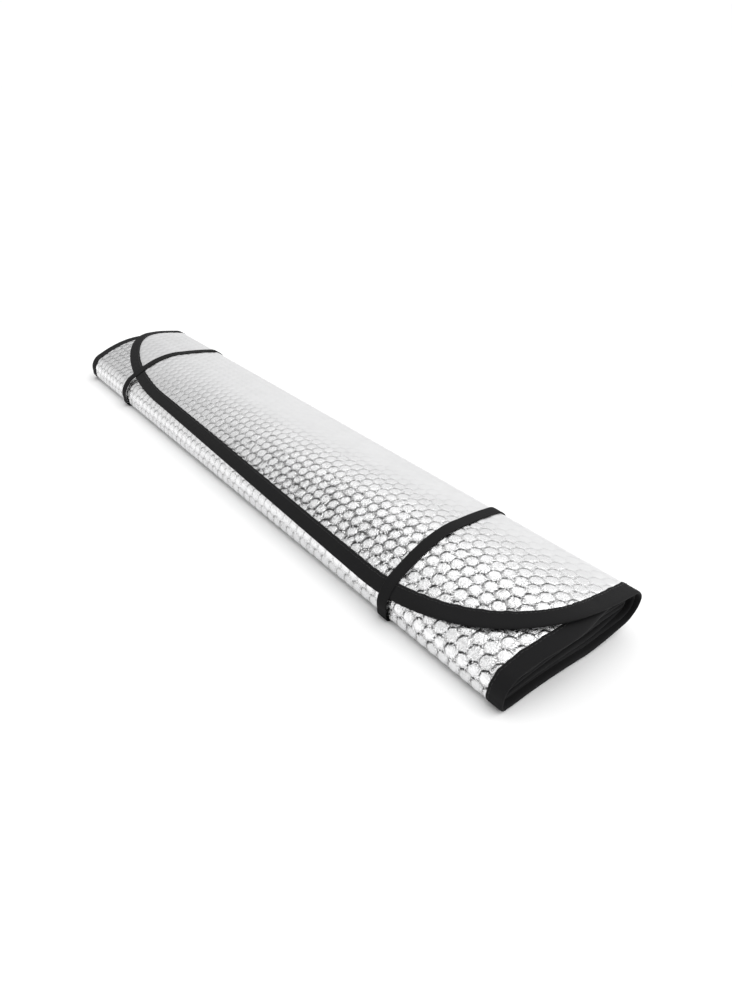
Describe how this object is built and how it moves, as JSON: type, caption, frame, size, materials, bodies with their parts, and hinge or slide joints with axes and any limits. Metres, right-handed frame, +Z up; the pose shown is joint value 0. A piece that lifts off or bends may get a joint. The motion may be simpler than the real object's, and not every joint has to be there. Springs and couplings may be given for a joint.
{
  "type": "rolled reflective bubble-foil mat",
  "caption": "Thin silver bubble-foil sleeping mat with black edge tape, rolled flat into a long oval bundle and held by narrow elastic bands.",
  "frame": {"origin": "on the floor, under the middle of the roll's bounding box", "axes": "+X along the roll towards the end with the near band, +Y across it away from the fold that the free edge reaches, +Z up"},
  "size_m": [0.7, 0.1346, 0.0477],
  "materials": {
    "bubble_film": "clear polyethylene bubble film, seen only at the edges",
    "foil": "metallised film drawn over the bubbles, bright and slightly milky",
    "tape": "black woven polyester binding tape, matt",
    "thread": "black polyester sewing thread",
    "elastic": "black woven elastic with fine lengthwise ribs, matt"
  },
  "bodies": {
    "roll": {"bubble_film": "bubble_film", "outer_foil": "foil", "inner_foil": "foil", "edge_tape": "tape", "tape_stitching": "thread"},
    "near_band": {"near_band": "elastic", "near_band_bartack": "thread"},
    "far_band": {"far_band": "elastic", "far_band_bartack": "thread"}
  },
  "joints": [
    {"name": "near_band_pull_off", "type": "slide", "parent": "roll", "child": "near_band", "axis": [1, 0, 0], "range_m": [0, 0.13]},
    {"name": "far_band_pull_off", "type": "slide", "parent": "roll", "child": "far_band", "axis": [-1, 0, 0], "range_m": [0, 0.13]}
  ]
}
